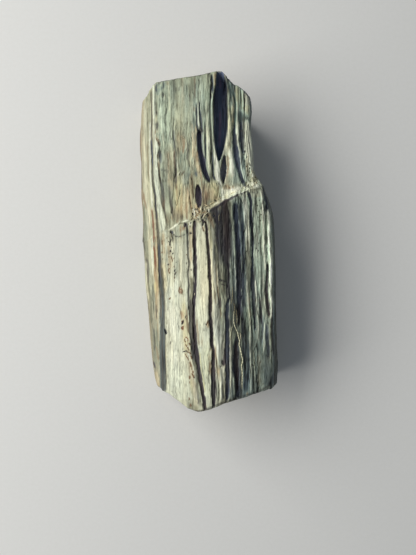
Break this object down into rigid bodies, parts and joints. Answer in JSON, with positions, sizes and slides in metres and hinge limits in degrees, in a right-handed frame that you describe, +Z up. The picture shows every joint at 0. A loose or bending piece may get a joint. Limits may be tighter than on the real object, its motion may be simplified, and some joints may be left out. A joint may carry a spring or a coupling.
{
  "type": "palo santo stick",
  "caption": "Short thick stick of weathered split wood that lies flat, with worn lengthwise grooves, a slanting saw step, an open slot and two sawn ends.",
  "frame": {"origin": "on the resting surface, under the middle of the stick's bounding box", "axes": "+Z up, +Y along the grain from the full-height half towards the split half, +X to the right as seen from above"},
  "size_m": [0.0436, 0.0951, 0.0275],
  "materials": {
    "weathered_wood": "bare, dry, weathered wood: cream and grey-green faces, nearly black grooves, matte"
  },
  "bodies": {
    "root": {"palo_santo_stick": "weathered_wood"}
  },
  "joints": []
}
